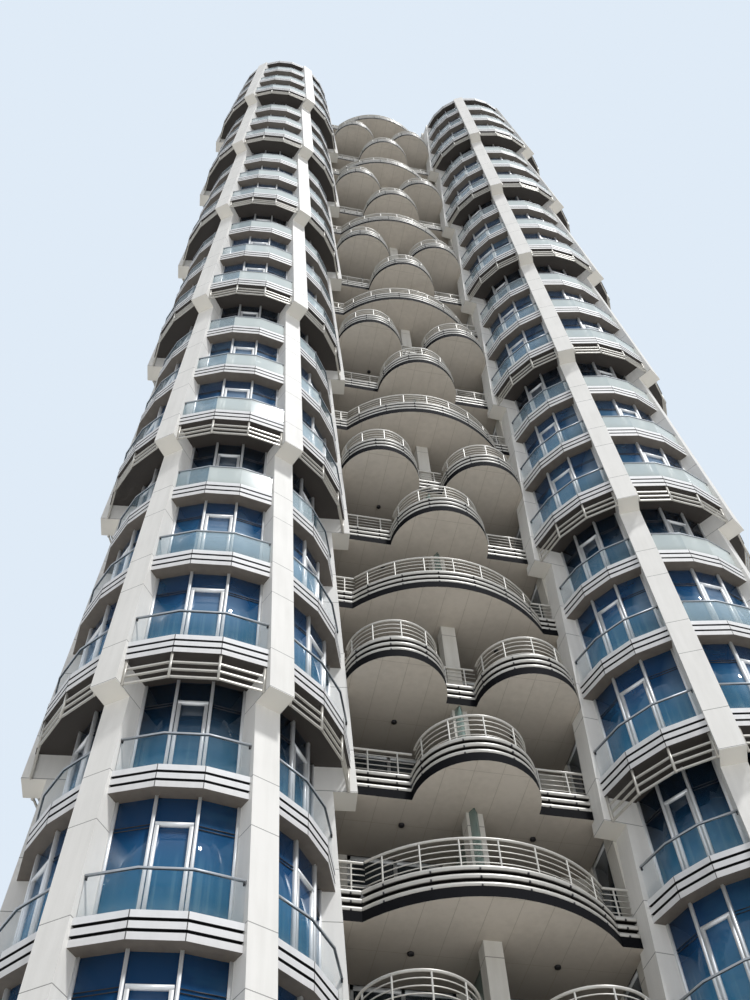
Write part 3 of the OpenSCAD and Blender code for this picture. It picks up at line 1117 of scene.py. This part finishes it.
def back_frames(head):
    """Frames of both openings of a back wall, each with a mullion and a transom."""
    parts = []
    for x0, x1 in back_openings():
        middle = (x0 + x1) / 2
        bars = frame_bars(x0, x1, head, BACK_RAIL, BACK_STILE)
        bars.append((middle - HALF_FRAME, middle + HALF_FRAME, DECK_TOP, head))
        bars.append((x0, x1, TRANSOM_LOW, TRANSOM_TOP))
        for a, b, z0, z1 in bars:
            parts.append(box((a, BACK_GLAZING_Y - HALF_FRAME, z0), (b, BACK_GLAZING_Y + HALF_FRAME, z1)))
    return together(parts)


def back_panes(head):
    """The panes of both openings of a back wall."""
    y0, y1 = BACK_GLAZING_Y - HALF_PANE, BACK_GLAZING_Y + HALF_PANE
    return together([box((x0, y0, DECK_TOP), (x1, y1, head)) for x0, x1 in back_openings()])


def side_frames(head):
    """Frames of the tall windows of both side walls."""
    parts = []
    for x in (-SIDE_GLAZING_X, SIDE_GLAZING_X):
        for a, b, z0, z1 in frame_bars(SIDE_WINDOW_Y0, SIDE_WINDOW_Y1, head, SIDE_RAIL, SIDE_STILE):
            parts.append(box((x - HALF_FRAME, a, z0), (x + HALF_FRAME, b, z1)))
    return together(parts)


def side_panes(head):
    """The panes of both side walls."""
    return together([box((x - HALF_PANE, SIDE_WINDOW_Y0, DECK_TOP), (x + HALF_PANE, SIDE_WINDOW_Y1, head))
                     for x in (-SIDE_GLAZING_X, SIDE_GLAZING_X)])


below_decks = range(STOREYS - 1)
frames, panes = [], []
for head, levels in [(STOREY + DECK_LOW, below_decks), (STOREY + EDGE_LOW, [STOREYS - 1])]:
    frames.append(in_recesses(together([back_frames(head), side_frames(head)]), levels))
    panes.append(in_recesses(together([back_panes(head), side_panes(head)]), levels))
piece("recess_frames", "frames", FRAMES, *frames)
piece("recess_panes", "window_glass", RECESS_GLASS, *panes)

# Screens: half the thickness of a screen and of the glass corner's sheets, its tip and both its ends
HALF_SCREEN = 0.0015
HALF_SHEET = 0.0008
CORNER_TIP = (-0.004, -0.0165)
CORNER_ENDS = [(-0.012, 0.0), (0.0066, 0.0)]

# Ceiling lamps: diameter, height and places in each recess
LAMP_D = 0.013
LAMP_H = 0.004
LAMP_SPOTS = [(-0.15, 0.06), (0.15, 0.06)]


def glass_corner():
    """Two sheets that meet in front of the column and end on its face."""
    parts = []
    for end in CORNER_ENDS:
        x, y = np.array(end) - CORNER_TIP
        sheet = box((0.0, -HALF_SHEET, DECK_TOP), (np.hypot(x, y), HALF_SHEET, STOREY + DECK_LOW))
        parts.append(turned(sheet, np.degrees(np.arctan2(y, x)), (*CORNER_TIP, 0.0)))
    return together(parts)


screen = box((-HALF_SCREEN, COLUMN_D, DECK_TOP), (HALF_SCREEN, BACK_Y, STOREY + DECK_LOW))
with_corner = [k for k in below_decks if KINDS[k % 3] != "twin"]
piece("frosted_screens", "frosted_glass", FROSTED,
      in_recesses(screen, below_decks), in_recesses(glass_corner(), with_corner))

# Round ceiling lamps: short drums of twelve sides under the balcony slabs
lamps = together([post(x, y, DECK_LOW - LAMP_H, DECK_LOW, LAMP_D, sides=12) for x, y in LAMP_SPOTS])
piece("soffit_lamps", "dark_metal", DARK, in_recesses(lamps, DECKS))

# Studio

FLOOR_REACH = 60.0

# Sun: strength, width and the turns from straight down
SUN_POWER = 2.6
SUN_WIDTH = radians(6)
SUN_TURN = (radians(30), 0.0, radians(31))

# Colour of the surround as a light, and as the camera and mirrors see it
SURROUND = (0.40, 0.41, 0.44, 1.0)
BACKDROP = (0.74, 0.83, 0.93, 1.0)


def pale_floor():
    """A pale floor, far wider than the tower."""
    corners = [(-1, -1), (1, -1), (1, 1), (-1, 1)]
    ground = bpy.data.meshes.new("floor")
    ground.from_pydata([(x * FLOOR_REACH, y * FLOOR_REACH, 0) for x, y in corners], [], [(0, 1, 2, 3)])
    floor = bpy.data.objects.new("floor", ground)
    bpy.context.collection.objects.link(floor)
    paint = Finish("floor_paint", roughness=0.9)
    paint.set("Base Color", paint.mix(paint.noise(0.5), "#e9e9e7", "#e2e2e0"))
    ground.materials.append(paint.material)


def broad_sun():
    """A broad sun from the right of the street."""
    sun = bpy.data.lights.new("sun", "SUN")
    sun.energy = SUN_POWER
    sun.angle = SUN_WIDTH
    lamp = bpy.data.objects.new("sun", sun)
    bpy.context.collection.objects.link(lamp)
    lamp.rotation_euler = SUN_TURN


def pale_surround():
    """A dim even surround that looks pale blue to the camera, in reflections and through glass."""
    world = bpy.data.worlds.new("surround")
    bpy.context.scene.world = world
    world.use_nodes = True
    nodes = Nodes(world.node_tree)
    camera_ray, glossy, through = [nodes.node("ShaderNodeLightPath", {}, {}, out=ray) for ray in (
        "Is Camera Ray", "Is Glossy Ray", "Is Transmission Ray")]
    seen = camera_ray.larger(glossy).larger(through)
    nodes.link(nodes.mix(seen, SURROUND, BACKDROP), nodes.tree.nodes["Background"].inputs["Color"])


# The camera was fitted to the photograph: its place in metres, its turns in degrees, and its focal
# length in pixels of a picture 1000 pixels high
CAMERA_PLACE = (-0.6421, -2.4192, 0.2807)
CAMERA_YAW = 14.4762
CAMERA_PITCH = 57.2032
CAMERA_ROLL = -3.8542
FOCAL_PIXELS = 1117.64
PICTURE_PIXELS = 1000.0
SENSOR = 36.0


def camera():
    """The photograph's camera, near the foot of the left drum, looking steeply up.

    Ahead is (sin yaw cos pitch, cos yaw cos pitch, sin pitch), and the roll turns right and up about it.
    """
    yaw, pitch, roll = radians(CAMERA_YAW), radians(CAMERA_PITCH), radians(CAMERA_ROLL)
    data = bpy.data.cameras.new("camera")
    data.sensor_fit = "VERTICAL"
    data.sensor_height = SENSOR
    data.lens = FOCAL_PIXELS / PICTURE_PIXELS * SENSOR
    data.clip_start = 0.01
    data.clip_end = 200.0
    view = bpy.data.objects.new("camera", data)
    bpy.context.collection.objects.link(view)
    ahead = np.array([np.sin(yaw) * np.cos(pitch), np.cos(yaw) * np.cos(pitch), np.sin(pitch)])
    right = np.array([np.cos(yaw), -np.sin(yaw), 0.0])
    up = np.cross(right, ahead)
    tilted_right = np.cos(roll) * right + np.sin(roll) * up
    tilted_up = -np.sin(roll) * right + np.cos(roll) * up
    matrix = Matrix(np.stack([tilted_right, tilted_up, -ahead], axis=1).tolist()).to_4x4()
    matrix.translation = CAMERA_PLACE
    view.matrix_world = matrix
    bpy.context.scene.camera = view


pale_floor()
broad_sun()
pale_surround()
camera()
bpy.context.scene.view_settings.view_transform = "Standard"
